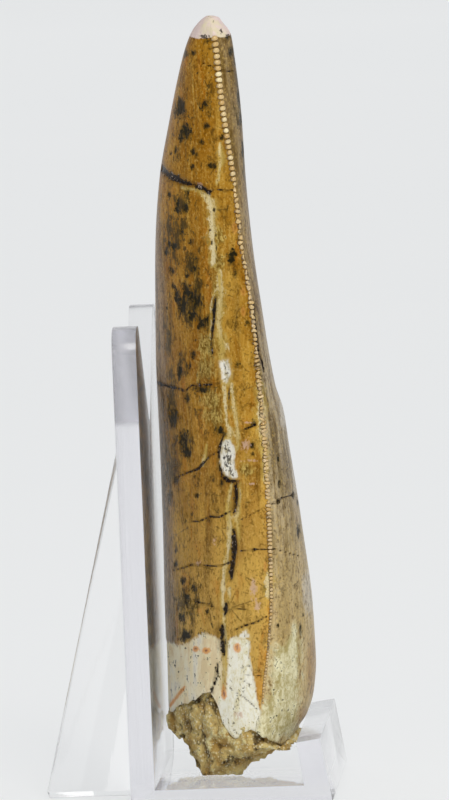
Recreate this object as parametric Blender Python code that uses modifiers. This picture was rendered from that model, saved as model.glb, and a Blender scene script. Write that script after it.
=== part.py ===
"""A fossil dinosaur tooth standing root down on its clear acrylic easel.

The frame: +X runs from the easel's back panel to its lip, +Z is up, and the origin is the centre
of the ledge's flat underside. Sizes below are in millimetres and are turned into metres as the
meshes are made.
"""
import math

import bmesh
import bpy
from mathutils import Vector, noise

MM = 0.001

# Easel: one bent acrylic sheet and a fin glued behind it
SHEET = 3.0
EASEL_WIDTH = 40.0
LEDGE_DEPTH = 25.0
PANEL_HEIGHT = 60.4
BEND_RADIUS = 1.0
PRONG_WIDTH = 7.5
PRONG_RADIUS = 3.2
NOTCH_HEIGHT = 46.3
NOTCH_RADIUS = 1.2
LIP_HEIGHT = 8.8
LIP_LEAN = math.radians(8.0)
EDGE_BEVEL = 0.25
FIN_REACH = 11.5
FIN_HEIGHT = 46.8
FIN_GAP = 0.3

# Tooth: outlines as (height, place) pairs, seen along Y for x and along X for y
LEFT_SIDE = [(0, -8.9), (12, -9.17), (22, -9.14), (34, -8.9), (52, -8.82), (62, -8.45), (70, -7.92),
             (77.5, -6.98), (85, -5.27), (90, -3.95), (94.4, -2.54), (96.6, -1.45), (97.7, -0.45), (98.3, 0.5)]
RIGHT_SIDE = [(0, 6.0), (6.8, 7.5), (8.6, 8.0), (10.2, 9.1), (13, 10.0), (17, 10.4), (24, 10.35), (34, 9.5),
              (44, 8.35), (48.6, 7.85), (52, 7.0), (62, 5.72), (70, 4.8), (77, 4.37), (86, 4.06), (93, 3.58), (95.8, 3.28),
              (97.3, 2.4), (98.0, 1.75), (98.3, 0.6)]
NEAR_CARINA_X = [(0, 3.3), (14, 4.3), (20, 5.2), (27, 5.85), (34, 5.93), (44, 5.78), (56, 5.15), (63, 4.65),
                 (70, 3.75), (77, 3.2), (89, 1.85), (95.5, 1.4), (98.3, 0.55)]
NEAR_CARINA_Y = [(0, -16.8), (18, -17.6), (34, -17.3), (52, -16.2), (70, -14.6), (88, -13.2), (94.5, -12.6),
                 (96.8, -11.9), (97.9, -10.9), (98.3, -9.9)]
FAR_CARINA_X = [(0, -4.6), (24, -5.1), (44, -5.6), (62, -5.6), (74.5, -5.0), (85, -3.8), (92, -1.8), (98.3, 0.5)]
FAR_CARINA_Y = [(0, 17.8), (16, 18.5), (34, 17.4), (52, 14.8), (62, 12.3), (70, 9.7), (76, 7.2), (82, 4.4),
                (88, 1.2), (92.5, -1.8), (95.3, -4.2), (97.2, -6.8), (98.0, -8.6), (98.3, -9.7)]
TIP_HEIGHT = 98.3
BELLY_ROOT = 0.72
BELLY_TIP = 0.86
FACE_STEPS = 14
LOFT_HEIGHTS = [16, 19, 22, 26, 30, 34, 38, 42, 46, 50, 54, 58, 62, 66, 70, 73, 76, 79, 82, 84.5, 87,
                89.2, 91.2, 93, 94.5, 95.7, 96.6, 97.3, 97.8, 98.1]
WAVE_SIZE = 14.0
WAVE_DEPTH = 0.10

# Root break: height of the broken wall seen from the near side and from the far side
NEAR_BREAK = [(-9.2, 10.6), (-5.6, 12.3), (-3.2, 13.9), (-2.4, 13.2), (-1.2, 10.2), (0.5, 8.6), (2.4, 9.7),
              (4.4, 8.8), (6.6, 7.5), (8.8, 9.2), (10.4, 10.5)]
FAR_BREAK = [(-9.2, 10.2), (-6.5, 9.0), (-4.0, 10.4), (-1.0, 9.2), (2.5, 11.4), (5.5, 9.4), (10.4, 10.5)]
BOTTOM_LINE = [(-9.2, 8.0), (-7.3, 7.1), (-5.9, 5.4), (-5.3, 3.9), (-3.6, 3.35), (0.2, 3.35), (1.3, 4.1),
               (2.9, 5.6), (5.6, 6.2), (7.7, 7.2), (9.5, 8.6)]
LOW_POINT_Y = -9.0
LUMP_REACH = 10.0
OUTER_BOTTOM = 7.4
MATRIX_INSET = 0.35
LUMP_SIZE = 2.6
LUMP_DEPTH = 0.55
LOWEST_Z = SHEET + 0.3

# Serrations: pitch along each cutting edge by height
DENTICLE_PITCH = [(13, 0.37), (23, 0.42), (31, 0.50), (43, 0.54), (54, 0.60), (66, 0.67), (82, 0.68), (95, 0.75)]
NEAR_ROW = (13.6, 95.0)
FAR_ROW = (40.0, 92.0)
DENTICLE_SUNK = 0.50
DENTICLE_OUT_SHARE = 0.55
DENTICLE_WIDTH_SHARE = 1.35


def clear_scene():
    for old in list(bpy.data.objects):
        bpy.data.objects.remove(old, do_unlink=True)


def new_collection(name):
    made = bpy.data.collections.new(name)
    bpy.context.scene.collection.children.link(made)
    return made


def principled(name, color, roughness, transmission=0.0, ior=1.5):
    mat = bpy.data.materials.new(name)
    mat.use_nodes = True
    shader = mat.node_tree.nodes["Principled BSDF"]
    shader.inputs["Base Color"].default_value = (*color, 1.0)
    shader.inputs["Roughness"].default_value = roughness
    shader.inputs["Metallic"].default_value = 0.0
    shader.inputs["Transmission Weight"].default_value = transmission
    shader.inputs["IOR"].default_value = ior
    return mat


def smooth_step(value):
    value = min(max(value, 0.0), 1.0)
    return value * value * (3.0 - 2.0 * value)


def along(points, at):
    """Reads a smooth curve through (place, value) pairs that never overshoots its points."""
    if at <= points[0][0]:
        return points[0][1]
    if at >= points[-1][0]:
        return points[-1][1]
    slopes = [(b[1] - a[1]) / (b[0] - a[0]) for a, b in zip(points, points[1:])]
    k = next(i for i in range(len(slopes)) if at <= points[i + 1][0])

    def bend(i):
        if i == 0 or i == len(slopes):
            return slopes[min(i, len(slopes) - 1)]
        before, after = slopes[i - 1], slopes[i]
        return 0.0 if before * after <= 0 else 2.0 * before * after / (before + after)

    span = points[k + 1][0] - points[k][0]
    t = (at - points[k][0]) / span
    start, end = points[k][1], points[k + 1][1]
    return (start * (1 + 2 * t) * (1 - t) ** 2 + bend(k) * span * t * (1 - t) ** 2
            + end * t * t * (3 - 2 * t) - bend(k + 1) * span * t * t * (1 - t))


def face_belly(share, z):
    """How far a face swells from the chord at a share of the way from the near to the far edge."""
    power = BELLY_ROOT + (BELLY_TIP - BELLY_ROOT) * smooth_step((z - 30.0) / 60.0)
    return (4.0 * share * (1.0 - share)) ** power


def swell(z, side, reach):
    """Finds the swelling with which a face just touches the outline on its side."""
    low, high = 0.0, 20.0
    near, far = along(NEAR_CARINA_X, z), along(FAR_CARINA_X, z)
    shares = [i / 40.0 for i in range(1, 40)]
    for _ in range(24):
        middle = (low + high) / 2.0
        outermost = max(side * (near + (far - near) * s) + middle * face_belly(s, z) for s in shares)
        if outermost < side * reach:
            low = middle
        else:
            high = middle
    return (low + high) / 2.0


def section(z):
    """The lens-shaped section at a height, from the near edge round the left face and back on the right."""
    near = (along(NEAR_CARINA_X, z), along(NEAR_CARINA_Y, z))
    far = (along(FAR_CARINA_X, z), along(FAR_CARINA_Y, z))
    swells = {-1: swell(z, -1, along(LEFT_SIDE, z)), 1: swell(z, 1, along(RIGHT_SIDE, z))}
    ring = []
    for step in range(2 * FACE_STEPS):
        side = -1 if step <= FACE_STEPS else 1
        turn = step if side < 0 else 2 * FACE_STEPS - step
        share = (1.0 - math.cos(math.pi * turn / FACE_STEPS)) / 2.0
        x = near[0] + (far[0] - near[0]) * share + side * swells[side] * face_belly(share, z)
        y = near[1] + (far[1] - near[1]) * share
        ring.append(Vector((x, y, z)))
    return ring


def waves(point):
    """Slow unevenness of the worn surface, pointing in or out from the tooth's middle line."""
    depth = WAVE_DEPTH * noise.noise(point / WAVE_SIZE)
    outward = Vector((point.x, point.y + 4.0, 0.0))
    return outward.normalized() * depth if outward.length > 3.0 else Vector()


def break_height(x, y):
    seen = smooth_step((y + 4.0) / 8.0)
    return along(NEAR_BREAK, x) * (1.0 - seen) + along(FAR_BREAK, x) * seen


def bottom_height(x, y):
    """Height of the ragged underside, lowest at the lump that stands on the ledge."""
    line = along(BOTTOM_LINE, x)
    away = smooth_step(abs(y - LOW_POINT_Y) / LUMP_REACH)
    lump = LUMP_DEPTH * noise.noise(Vector((x, y, 9.0)) / LUMP_SIZE)
    return max(line + (OUTER_BOTTOM - line) * away * (line < OUTER_BOTTOM) + lump, LOWEST_Z)


def root_rings():
    """Rings from the middle of the ragged underside up over the matrix to the broken wall."""
    edge = section(LOFT_HEIGHTS[0])
    low = section(9.0)
    middle = Vector((-1.5, LOW_POINT_Y + 4.0, 0.0))
    rings = []
    for share in (0.14, 0.3, 0.48, 0.66, 0.83, 0.97):
        ring = []
        for base in low:
            flat = middle.lerp(Vector((base.x, base.y, 0.0)), share)
            ring.append(Vector((flat.x, flat.y, bottom_height(flat.x, flat.y))))
        rings.append(ring)
    for share in (0.3, 0.7):
        ring = []
        for base, top in zip(low, edge):
            rim = break_height(base.x, base.y)
            foot = min(bottom_height(base.x, base.y) + 0.5, rim - 0.9)
            z = foot + (rim - 0.35 - foot) * share
            flat = Vector((base.x, base.y, 0.0)).lerp(Vector((top.x, top.y, 0.0)), smooth_step((z - 9.0) / 7.0))
            rough = LUMP_DEPTH * noise.noise(Vector((base.x, base.y, z)) / LUMP_SIZE)
            inward = (middle - flat).normalized()
            flat += inward * (MATRIX_INSET - rough)
            ring.append(Vector((flat.x, flat.y, z)))
        rings.append(ring)
    for share in (0.0, 0.35, 0.7):
        ring = []
        for base, top in zip(low, edge):
            rim = break_height(base.x, base.y)
            z = rim + (LOFT_HEIGHTS[0] - rim) * share
            flat = base.lerp(top, smooth_step((z - 9.0) / 7.0))
            ring.append(Vector((flat.x, flat.y, z)))
        rings.append(ring)
    centre = Vector((middle.x, middle.y, bottom_height(middle.x, middle.y)))
    return centre, rings


def loft(name, start, rings, end, collection):
    """Closes rings of equal length into one skin between a start point and an end point."""
    mesh = bmesh.new()
    first = mesh.verts.new(start * MM)
    last = mesh.verts.new(end * MM)
    rows = [[mesh.verts.new(point * MM) for point in ring] for ring in rings]
    count = len(rows[0])
    for k in range(count):
        after = (k + 1) % count
        mesh.faces.new((first, rows[0][k], rows[0][after]))
        mesh.faces.new((last, rows[-1][after], rows[-1][k]))
        for below, above in zip(rows, rows[1:]):
            mesh.faces.new((below[k], above[k], above[after], below[after]))
    bmesh.ops.recalc_face_normals(mesh, faces=mesh.faces)
    data = bpy.data.meshes.new(name)
    mesh.to_mesh(data)
    mesh.free()
    made = bpy.data.objects.new(name, data)
    collection.objects.link(made)
    return made


def edge_point(z, far):
    if far:
        return Vector((along(FAR_CARINA_X, z), along(FAR_CARINA_Y, z), z))
    return Vector((along(NEAR_CARINA_X, z), along(NEAR_CARINA_Y, z), z))


def add_denticle(mesh, z, far, pitch):
    """One blunt chisel of the cutting edge, sunk into the tooth so that the union takes it in."""
    here = edge_point(z, far)
    run = (edge_point(z + 0.5, far) - edge_point(z - 0.5, far)).normalized()
    chord = edge_point(z, True) - edge_point(z, False)
    out = chord if far else -chord
    out = (out - run * out.dot(run)).normalized()
    across = run.cross(out)
    corners = []
    spread = pitch * DENTICLE_WIDTH_SHARE
    for lift, length, width in ((-DENTICLE_SUNK, 0.33, 0.62), (pitch * DENTICLE_OUT_SHARE, 0.27, 0.24)):
        for i, j in ((-1, -1), (1, -1), (1, 1), (-1, 1)):
            corner = here + out * lift + run * (i * pitch * length) + across * (j * spread * width)
            corners.append(mesh.verts.new(corner * MM))
    low, high = corners[:4], corners[4:]
    mesh.faces.new(low)
    mesh.faces.new(high)
    for k in range(4):
        after = (k + 1) % 4
        mesh.faces.new((low[k], low[after], high[after], high[k]))


def denticle_rows(collection):
    mesh = bmesh.new()
    for far, (bottom, top) in ((False, NEAR_ROW), (True, FAR_ROW)):
        z = bottom
        while z < top:
            pitch = along(DENTICLE_PITCH, z)
            add_denticle(mesh, z, far, pitch)
            rise = (edge_point(z + 0.5, far) - edge_point(z - 0.5, far)).normalized().z
            z += pitch * rise
    bmesh.ops.recalc_face_normals(mesh, faces=mesh.faces)
    data = bpy.data.meshes.new("denticles")
    mesh.to_mesh(data)
    mesh.free()
    made = bpy.data.objects.new("denticles", data)
    collection.objects.link(made)
    made.hide_render = True
    made.display_type = "WIRE"
    return made


def boolean(target, tool, operation):
    modifier = target.modifiers.new(operation.title(), "BOOLEAN")
    modifier.operation = operation
    modifier.solver = "EXACT"
    modifier.object = tool


def make_tooth(parts, cutters):
    centre, rings = root_rings()
    for z in LOFT_HEIGHTS:
        rings.append(section(z))
    rings[9:] = [[point + waves(point) for point in ring] for ring in rings[9:]]
    tip = Vector((along(LEFT_SIDE, TIP_HEIGHT) + 0.05, along(NEAR_CARINA_Y, TIP_HEIGHT) + 0.1, TIP_HEIGHT))
    tooth = loft("tooth", centre, rings, tip, parts)
    boolean(tooth, denticle_rows(cutters), "UNION")
    tooth.data.materials.append(principled("fossil_enamel", (0.36, 0.19, 0.045), 0.32))
    return tooth


def arc(centre, radius, start, end, steps=6):
    """Points on a round corner, from one angle to another in degrees."""
    turns = [math.radians(start + (end - start) * i / steps) for i in range(steps + 1)]
    return [(centre[0] + radius * math.cos(t), centre[1] + radius * math.sin(t)) for t in turns]


def plate(name, outline, thickness, collection):
    """A flat outline with a thickness, as a welded mesh in the outline's own plane."""
    curve = bpy.data.curves.new(name, "CURVE")
    curve.dimensions = "2D"
    curve.fill_mode = "BOTH"
    curve.extrude = thickness * MM / 2.0
    spline = curve.splines.new("POLY")
    spline.points.add(len(outline) - 1)
    for point, (across, up) in zip(spline.points, outline):
        point.co = (across * MM, up * MM, 0.0, 1.0)
    spline.use_cyclic_u = True
    flat = bpy.data.objects.new(name, curve)
    collection.objects.link(flat)
    bpy.context.view_layer.update()
    data = bpy.data.meshes.new_from_object(flat.evaluated_get(bpy.context.evaluated_depsgraph_get()))
    mesh = bmesh.new()
    mesh.from_mesh(data)
    bmesh.ops.remove_doubles(mesh, verts=mesh.verts, dist=0.000001)
    bmesh.ops.recalc_face_normals(mesh, faces=mesh.faces)
    mesh.to_mesh(data)
    mesh.free()
    bpy.data.objects.remove(flat)
    made = bpy.data.objects.new(name, data)
    collection.objects.link(made)
    return made


def sheet_profile():
    """The bent sheet seen from its end: panel, ledge and leaning lip, outside bends rounded."""
    half = LEDGE_DEPTH / 2.0
    lean, height = LIP_LEAN, LIP_HEIGHT
    shift = Vector((-math.sin(lean), math.cos(lean)))
    thick = Vector((-math.cos(lean), -math.sin(lean)))
    foot = Vector((half, 0.0))
    top_out = foot + shift * (height / math.cos(lean))
    top_in = top_out + thick * SHEET
    inner_foot = top_in - shift * ((top_in.y - SHEET) / math.cos(lean))
    return ([(-half, PANEL_HEIGHT), *arc((-half + BEND_RADIUS, BEND_RADIUS), BEND_RADIUS, 180, 270)]
            + [*arc((half - BEND_RADIUS, BEND_RADIUS), BEND_RADIUS, 270, 360, 4), tuple(top_out), tuple(top_in)]
            + [tuple(inner_foot), (-half + SHEET, SHEET), (-half + SHEET, PANEL_HEIGHT)])


def notch_outline():
    """Everything above the panel's forked top edge, seen from the front."""
    half, top, r = EASEL_WIDTH / 2.0, PANEL_HEIGHT, PRONG_RADIUS
    inner = half - PRONG_WIDTH
    slope = math.degrees(math.atan2(top - NOTCH_HEIGHT, inner))
    facing = slope + 90.0
    along_slope = Vector((math.cos(math.radians(slope)), math.sin(math.radians(slope))))
    low = Vector((0.0, NOTCH_HEIGHT)) + along_slope * NOTCH_RADIUS
    right = [*arc((half - r, top - r), r, 0, 90), *arc((inner + r * 0.8, top - r * 0.8), r * 0.8, 90, facing)]
    right.append(tuple(low))
    left = [(-across, up) for across, up in reversed(right)]
    rise = 10.0
    return [(half + rise, top - r), *right, *left, (-half - rise, top - r), (-half - rise, top + rise),
            (half + rise, top + rise)]


def stand_on_edge(made, turn_z=0.0):
    """Turns a plate from lying flat to standing, its outline's up along Z."""
    made.rotation_euler = (math.radians(90.0), 0.0, turn_z)


def soften_edges(made):
    modifier = made.modifiers.new("Polished edges", "BEVEL")
    modifier.width = EDGE_BEVEL * MM
    modifier.segments = 1
    modifier.limit_method = "ANGLE"
    modifier.angle_limit = math.radians(50.0)


def make_easel(parts, cutters):
    clear = principled("clear_acrylic", (0.97, 0.97, 0.99), 0.04, 1.0, 1.49)
    sheet = plate("easel_sheet", sheet_profile(), EASEL_WIDTH, parts)
    stand_on_edge(sheet)
    fork = plate("notch_cutter", notch_outline(), 4.0 * SHEET, cutters)
    stand_on_edge(fork, math.radians(90.0))
    fork.location.x = (-LEDGE_DEPTH / 2.0 + SHEET / 2.0) * MM
    fork.hide_render = True
    fork.display_type = "WIRE"
    boolean(sheet, fork, "DIFFERENCE")
    soften_edges(sheet)
    sheet.data.materials.append(clear)
    back = -LEDGE_DEPTH / 2.0 - FIN_GAP
    fin = plate("easel_fin", [(back, 0.0), (back, FIN_HEIGHT), (back - 0.8, FIN_HEIGHT - 2.4),
                              (back - FIN_REACH, 0.9), (back - FIN_REACH, 0.0)], SHEET, parts)
    stand_on_edge(fin)
    soften_edges(fin)
    fin.data.materials.append(clear.copy())


clear_scene()
parts_collection = new_collection("fossil_tooth_on_easel")
cutter_collection = new_collection("cutters")
make_tooth(parts_collection, cutter_collection)
make_easel(parts_collection, cutter_collection)
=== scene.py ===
"""The looks of a fossil dinosaur tooth that stands root down on a small clear acrylic easel."""
import math
import random

import bmesh
import bpy
import numpy as np
from mathutils import Matrix, Vector, noise


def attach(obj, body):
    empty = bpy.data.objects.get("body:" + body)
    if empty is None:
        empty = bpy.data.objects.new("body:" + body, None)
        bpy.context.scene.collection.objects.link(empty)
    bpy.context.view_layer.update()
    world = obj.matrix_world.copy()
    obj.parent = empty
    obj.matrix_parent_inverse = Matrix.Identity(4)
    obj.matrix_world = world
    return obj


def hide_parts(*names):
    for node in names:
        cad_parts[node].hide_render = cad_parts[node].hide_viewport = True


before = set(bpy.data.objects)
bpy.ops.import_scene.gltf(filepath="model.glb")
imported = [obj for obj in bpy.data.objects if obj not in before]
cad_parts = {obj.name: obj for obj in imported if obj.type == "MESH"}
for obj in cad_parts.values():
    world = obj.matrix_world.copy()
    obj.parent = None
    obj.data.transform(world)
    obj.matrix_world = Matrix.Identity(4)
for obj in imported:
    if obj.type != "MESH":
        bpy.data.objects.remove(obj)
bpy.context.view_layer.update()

# The table and the light. An opal light table that sweeps up behind the specimen, in a pale room
# with soft boxes and a dark curtain behind the lens, which is long and looks along the tooth's
# near edge from a little above. Lengths are in millimetres and become metres in each mesh.
MM = 0.001
VIEW_TURN = math.radians(3.44)
VIEW_RISE = math.radians(5.33)
VIEW_ROLL = math.radians(2.4)
VIEW_DISTANCE = 1280.0
VIEW_CENTRE = Vector((0.0, 0.0, 49.4))
PICTURE = (449, 800)
PIXEL = 0.1254
SENSOR = 36.0

view_back = Vector((math.sin(VIEW_TURN) * math.cos(VIEW_RISE), -math.cos(VIEW_TURN) * math.cos(VIEW_RISE),
                    math.sin(VIEW_RISE)))
level_right = Vector((math.cos(VIEW_TURN), math.sin(VIEW_TURN), 0.0))
level_up = view_back.cross(level_right)
view_right = level_right * math.cos(VIEW_ROLL) - level_up * math.sin(VIEW_ROLL)
view_up = level_right * math.sin(VIEW_ROLL) + level_up * math.cos(VIEW_ROLL)

lens = bpy.data.cameras.new("view")
lens.sensor_width = SENSOR
lens.lens = SENSOR * VIEW_DISTANCE / (PICTURE[1] * PIXEL)
lens.clip_end = 20.0
camera = bpy.data.objects.new("view", lens)
bpy.context.scene.collection.objects.link(camera)
placing = Matrix((view_right, view_up, view_back)).transposed().to_4x4()
placing.translation = (VIEW_CENTRE + view_back * VIEW_DISTANCE) * MM
camera.matrix_world = placing
bpy.context.scene.camera = camera
bpy.context.scene.view_settings.view_transform = "Standard"


def tone(red, green, blue):
    """A colour as a screen shows it, from 0 to 255, turned into the linear light of a shader."""
    shares = [value / 255.0 for value in (red, green, blue)]
    linear = [s / 12.92 if s <= 0.04045 else ((s + 0.055) / 1.055) ** 2.4 for s in shares]
    return (*linear, 1.0)


class Value:
    """One output in a material's tree, so that sums written in Python add its Math nodes."""

    def __init__(self, paint, socket):
        self.paint = paint
        self.socket = socket

    def sum(self, operation, first, second):
        return self.paint.node("ShaderNodeMath", {"operation": operation}, {0: first, 1: second})

    def __add__(self, other):
        return self.sum("ADD", self, other)

    def __sub__(self, other):
        return self.sum("SUBTRACT", self, other)

    def __rsub__(self, other):
        return self.sum("SUBTRACT", other, self)

    def __mul__(self, other):
        return self.sum("MULTIPLY", self, other)

    __radd__ = __add__
    __rmul__ = __mul__

    def larger(self, other):
        return self.sum("MAXIMUM", self, other)

    def rise(self, low, high):
        """0 below low and 1 above high, smooth between them."""
        return self.paint.node("ShaderNodeMapRange", {"interpolation_type": "SMOOTHSTEP"},
                               {"Value": self, "From Min": low, "From Max": high})


class Paint:
    """A material with its Principled shader and short ways to add the nodes that feed it."""

    def __init__(self, name, **constants):
        self.material = bpy.data.materials.new(name)
        self.material.use_nodes = True
        self.tree = self.material.node_tree
        self.shader = self.tree.nodes["Principled BSDF"]
        self.output = self.tree.nodes["Material Output"]
        for socket, value in constants.items():
            self.shader.inputs[socket.replace("_", " ")].default_value = value
        self.place = self.node("ShaderNodeTexCoord", {}, {}, "Object")

    def node(self, kind, settings, sockets, output=0):
        made = self.tree.nodes.new(kind)
        for name, value in settings.items():
            setattr(made, name, value)
        for name, value in sockets.items():
            if isinstance(value, Value):
                self.tree.links.new(value.socket, made.inputs[name])
            else:
                made.inputs[name].default_value = value
        return Value(self, made.outputs[output])

    def feed(self, socket, value):
        self.tree.links.new(value.socket, self.shader.inputs[socket])

    def field(self, name):
        """A number that the mesh carries at each of its points."""
        return self.node("ShaderNodeAttribute", {"attribute_name": name}, {}, "Fac")

    def mix(self, share, under, over):
        return self.node("ShaderNodeMix", {"data_type": "RGBA"}, {0: share, 6: under, 7: over}, 2)

    def stretch(self, x, y, z):
        """The place on the object in millimetres, squeezed along each axis by a share."""
        return self.node("ShaderNodeVectorMath", {"operation": "MULTIPLY"},
                         {0: self.place, 1: (x / MM, y / MM, z / MM)})

    def cloud(self, size, detail=2.0, stretch=(1.0, 1.0, 1.0), twist=0.0):
        """Noise around 0, from about -0.5 to 0.5, whose lumps have a size in millimetres."""
        where = self.stretch(*(share / size for share in stretch))
        return self.node("ShaderNodeTexNoise", {}, {"Vector": where, "Scale": 1.0, "Detail": detail,
                                                    "Roughness": 0.62, "Distortion": twist}) - 0.5

    def cells(self, size, stretch=(1.0, 1.0, 1.0), feature="F1"):
        """Distance to the nearest of scattered grains, in grain sizes."""
        where = self.stretch(*(share / size for share in stretch))
        return self.node("ShaderNodeTexVoronoi", {"feature": feature}, {"Vector": where, "Scale": 1.0}, "Distance")

    def relief(self, height, depth):
        """Turns a height between 0 and 1 into a bump of a depth in millimetres."""
        bump = self.node("ShaderNodeBump", {}, {"Height": height, "Strength": 1.0, "Distance": depth * MM}, "Normal")
        self.feed("Normal", bump)


FLOOR_REACH = (-2.6, 1.7)
SWEEP_RADIUS = 0.7
SWEEP_TOP = 3.0
sweep_line = [(FLOOR_REACH[0], 0.0), (FLOOR_REACH[1], 0.0)]
for step in range(1, 17):
    turn = math.pi / 2.0 * step / 16
    sweep_line.append((FLOOR_REACH[1] + SWEEP_RADIUS * math.sin(turn), SWEEP_RADIUS * (1.0 - math.cos(turn))))
sweep_line.append((FLOOR_REACH[1] + SWEEP_RADIUS, SWEEP_TOP))
sweep_mesh = bmesh.new()
sweep_rows = [[sweep_mesh.verts.new((x, y, z)) for x in (-3.0, 3.0)] for y, z in sweep_line]
for below, above in zip(sweep_rows, sweep_rows[1:]):
    sweep_mesh.faces.new((below[0], below[1], above[1], above[0]))
sweep_data = bpy.data.meshes.new("floor")
sweep_mesh.to_mesh(sweep_data)
sweep_mesh.free()
sweep_data.shade_smooth()
floor = bpy.data.objects.new("floor", sweep_data)
bpy.context.scene.collection.objects.link(floor)
floor_paint = Paint("opal_sheet", Roughness=0.85, Specular_IOR_Level=0.1, Emission_Strength=0.66)
floor_paint.feed("Base Color", floor_paint.mix((floor_paint.cloud(180.0) + 0.5), tone(124, 125, 124), tone(130, 129, 127)))
floor_paint.shader.inputs["Emission Color"].default_value = tone(252, 254, 255)
sweep_data.materials.append(floor_paint.material)

room = bpy.data.worlds.new("white_room")
room.use_nodes = True
room.node_tree.nodes["Background"].inputs["Color"].default_value = tone(244, 246, 255)
room.node_tree.nodes["Background"].inputs["Strength"].default_value = 0.5
bpy.context.scene.world = room


def soft_box(name, place, size, power, color):
    """A square lamp that faces the middle of the tooth."""
    data = bpy.data.lights.new(name, "AREA")
    data.size = size
    data.energy = power
    data.color = color
    lamp = bpy.data.objects.new(name, data)
    bpy.context.scene.collection.objects.link(lamp)
    lamp.location = place
    lamp.rotation_euler = (VIEW_CENTRE * MM - Vector(place)).to_track_quat("-Z", "Y").to_euler()


soft_box("soft_box_front", (0.3, -1.25, 0.95), 0.8, 17.0, (1.0, 0.98, 0.95))
soft_box("soft_box_left", (-0.5, -1.2, 0.35), 0.5, 1.5, (1.0, 0.98, 0.96))

curtain_mesh = bmesh.new()
curtain_line = [(-2.1, 0.4), (-2.1, -2.5), (2.1, -2.5), (2.1, -1.1)]
curtain_rows = [[curtain_mesh.verts.new((x, y, z)) for z in (0.02, 3.0)] for x, y in curtain_line]
for here, beyond in zip(curtain_rows, curtain_rows[1:]):
    curtain_mesh.faces.new((here[0], beyond[0], beyond[1], here[1]))
curtain_data = bpy.data.meshes.new("dark_curtain")
curtain_mesh.to_mesh(curtain_data)
curtain_mesh.free()
curtain = bpy.data.objects.new("dark_curtain", curtain_data)
bpy.context.scene.collection.objects.link(curtain)
curtain_data.materials.append(Paint("dark_cloth", Roughness=0.95, Base_Color=tone(36, 34, 34)).material)

# The tooth. One fossil blade: a golden-brown enamel crown over cream dentine, stained by dark
# dendrites and broken by cracks that pale mineral has filled. Its wall ends in a ragged break.
TIP_HEIGHT = 98.3
LEFT_SIDE = [(0, -8.9), (12, -9.17), (22, -9.14), (34, -8.9), (52, -8.82), (62, -8.45), (70, -7.92),
             (77.5, -6.98), (85, -5.27), (90, -3.95), (94.4, -2.54), (96.6, -1.45), (97.7, -0.45), (98.3, 0.5)]
RIGHT_SIDE = [(0, 6.0), (6.8, 7.5), (8.6, 8.0), (10.2, 9.1), (13, 10.0), (17, 10.4), (24, 10.35), (34, 9.5),
              (44, 8.35), (48.6, 7.85), (52, 7.0), (62, 5.72), (70, 4.8), (77, 4.37), (86, 4.06), (93, 3.58),
              (95.8, 3.28), (97.3, 2.4), (98.0, 1.75), (98.3, 0.6)]
NEAR_CARINA_X = [(0, 3.3), (14, 4.3), (20, 5.2), (27, 5.85), (34, 5.93), (44, 5.78), (56, 5.15), (63, 4.65),
                 (70, 3.75), (77, 3.2), (89, 1.85), (95.5, 1.4), (98.3, 0.55)]
NEAR_CARINA_Y = [(0, -16.8), (18, -17.6), (34, -17.3), (52, -16.2), (70, -14.6), (88, -13.2), (94.5, -12.6),
                 (96.8, -11.9), (97.9, -10.9), (98.3, -9.9)]
FAR_CARINA_X = [(0, -4.6), (24, -5.1), (44, -5.6), (62, -5.6), (74.5, -5.0), (85, -3.8), (92, -1.8), (98.3, 0.5)]
FAR_CARINA_Y = [(0, 17.8), (16, 18.5), (34, 17.4), (52, 14.8), (62, 12.3), (70, 9.7), (76, 7.2), (82, 4.4),
                (88, 1.2), (92.5, -1.8), (95.3, -4.2), (97.2, -6.8), (98.0, -8.6), (98.3, -9.7)]
NEAR_BREAK = [(-9.2, 10.6), (-5.6, 12.3), (-3.2, 13.9), (-2.4, 13.2), (-1.2, 10.2), (0.5, 8.6), (2.4, 9.7),
              (4.4, 8.8), (6.6, 7.5), (8.8, 9.2), (10.4, 10.5)]
FAR_BREAK = [(-9.2, 10.2), (-6.5, 9.0), (-4.0, 10.4), (-1.0, 9.2), (2.5, 11.4), (5.5, 9.4), (10.4, 10.5)]
BELLY = (0.72, 0.86)
FACE_STEPS = 144
ROW_STEP = 0.28
FULL_SECTION = 16.0


def along(points, at):
    """Reads a smooth curve through (place, value) pairs that never overshoots its points."""
    places, values = np.array(points, float).T
    slopes = np.diff(values) / np.diff(places)
    bends = np.concatenate((slopes[:1], np.zeros(len(slopes) - 1), slopes[-1:]))
    product = slopes[:-1] * slopes[1:]
    total = np.where(product > 0, slopes[:-1] + slopes[1:], 1.0)
    bends[1:-1] = np.where(product > 0, 2.0 * product / total, 0.0)
    at = np.clip(at, places[0], places[-1])
    k = np.clip(np.searchsorted(places, at) - 1, 0, len(slopes) - 1)
    span = places[k + 1] - places[k]
    t = (at - places[k]) / span
    return (values[k] * (1 + 2 * t) * (1 - t) ** 2 + bends[k] * span * t * (1 - t) ** 2
            + values[k + 1] * t * t * (3 - 2 * t) - bends[k + 1] * span * t * t * (1 - t))


def smooth_step(value):
    value = np.clip(value, 0.0, 1.0)
    return value * value * (3.0 - 2.0 * value)


def belly(share, z):
    """How far a face swells from the chord at a share of the way from the near to the far edge."""
    power = BELLY[0] + (BELLY[1] - BELLY[0]) * smooth_step((z - 30.0) / 60.0)
    return np.clip(4.0 * share * (1.0 - share), 0.0, 1.0) ** power


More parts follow.
